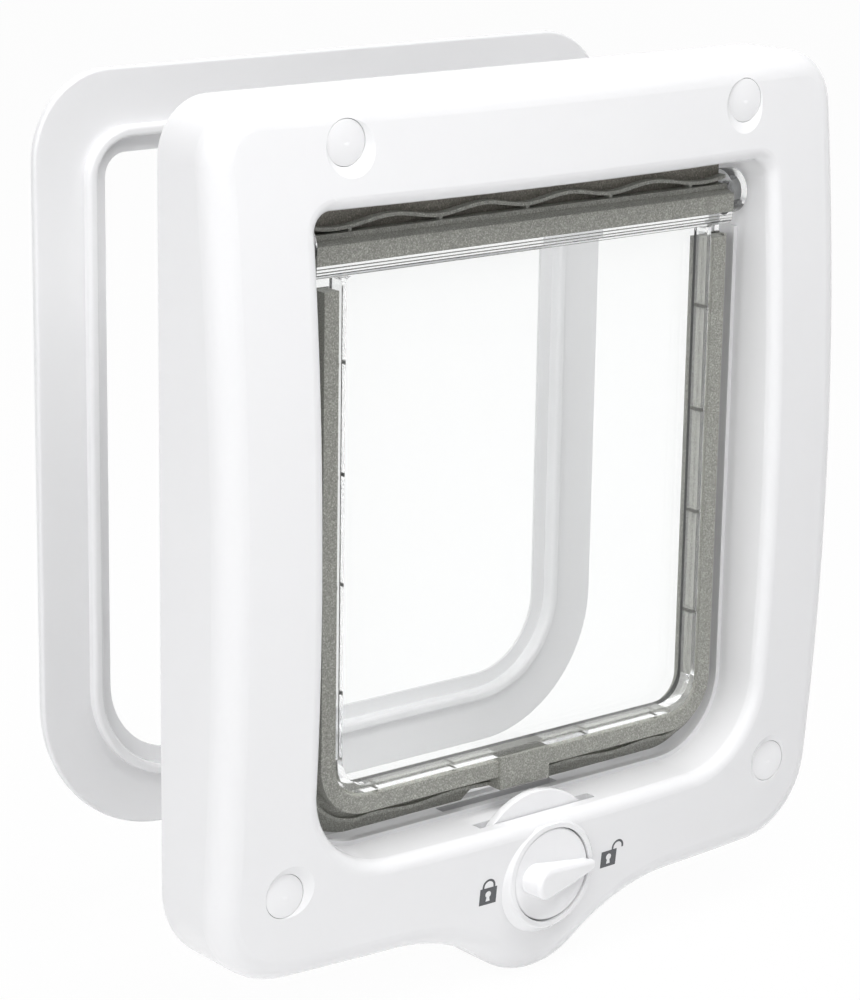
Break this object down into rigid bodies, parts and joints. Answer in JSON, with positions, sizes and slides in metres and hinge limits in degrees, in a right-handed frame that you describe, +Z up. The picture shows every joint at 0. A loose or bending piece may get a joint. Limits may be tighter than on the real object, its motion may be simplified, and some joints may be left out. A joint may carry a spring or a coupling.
{
  "type": "cat flap",
  "caption": "Two-way cat flap: crowned white frame with capped screws, clear hinged flap with grey seals and magnet tongue, rotary lock, and a loose rear trim frame.",
  "frame": {"origin": "centre of the cutout that the passage needs, on the door's face, which is the plane of the front frame's rear rim", "axes": "X across the door to the right seen from the room, Y into the door away from the room, Z up"},
  "size_m": [0.2, 0.1007, 0.2316],
  "materials": {
    "white_plastic": "glossy moulded white",
    "clear_acrylic": "clear polished moulding",
    "grey_seal": "fine-grained soft grey moulding",
    "magnet": "matt sintered ferrite",
    "zinc_steel": "bright zinc plate"
  },
  "bodies": {
    "frame": {"front_frame": "white_plastic", "rear_frame": "white_plastic", "frame_screws": "zinc_steel", "screw_cap_upper_left": "white_plastic", "screw_cap_upper_right": "white_plastic", "screw_cap_lower_left": "white_plastic", "screw_cap_lower_right": "white_plastic", "sill_magnet": "magnet", "lock_cover": "white_plastic", "cover_screws": "zinc_steel"},
    "flap": {"flap_pane": "clear_acrylic", "top_seal": "grey_seal", "edge_seal": "grey_seal", "flap_magnet": "magnet"},
    "lock": {"lock_knob": "white_plastic", "lock_cam": "white_plastic", "knob_screw": "zinc_steel"}
  },
  "joints": [
    {"name": "flap_swing", "type": "hinge", "parent": "frame", "child": "flap", "pos_m": [0, -0.0115, 0.0713], "axis": [1, 0, 0], "range_deg": [-82, 82]},
    {"name": "lock_turn", "type": "hinge", "parent": "frame", "child": "lock", "pos_m": [0, -0.0215, -0.0961], "axis": [0, -1, 0], "range_deg": [0, 180]}
  ]
}
